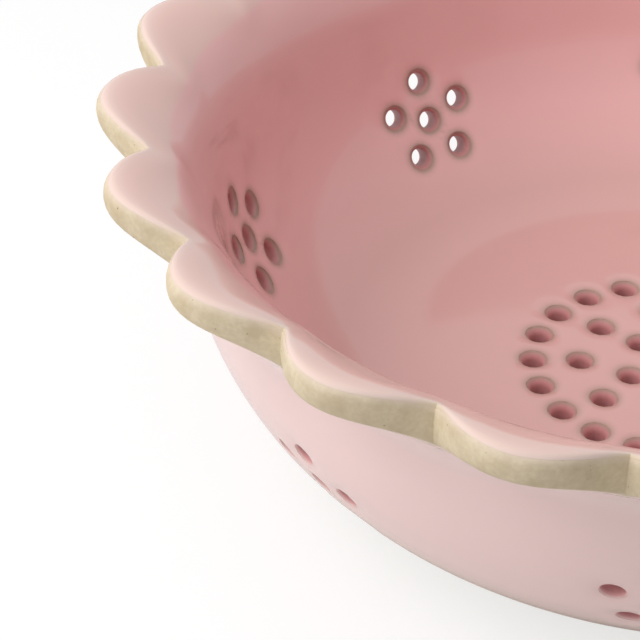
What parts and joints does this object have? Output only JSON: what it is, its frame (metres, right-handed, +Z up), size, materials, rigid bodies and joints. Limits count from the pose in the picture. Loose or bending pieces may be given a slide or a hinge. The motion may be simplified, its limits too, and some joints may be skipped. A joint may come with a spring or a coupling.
{
  "type": "berry bowl",
  "caption": "Shallow glazed stoneware drain bowl with a flared scalloped rim, flowers pierced through its wall, drain holes in its floor and a turned foot.",
  "frame": {"origin": "middle of the face that the bowl stands on", "axes": "+Z up along the bowl's axis, -Y towards the side seen in front"},
  "size_m": [0.1801, 0.1794, 0.0585],
  "materials": {
    "clay": "bare buff stoneware, matt and finely gritty, with small dark specks",
    "inside_glaze": "pink glaze with a soft gloss, thinner and greyer at the lips of the holes",
    "outside_glaze": "pale pink glaze with a satin sheen and a few fine specks"
  },
  "bodies": {
    "root": {"stoneware_body": "clay", "foot_ring": "clay", "inside_glaze": "inside_glaze", "outside_glaze": "outside_glaze"}
  },
  "joints": []
}
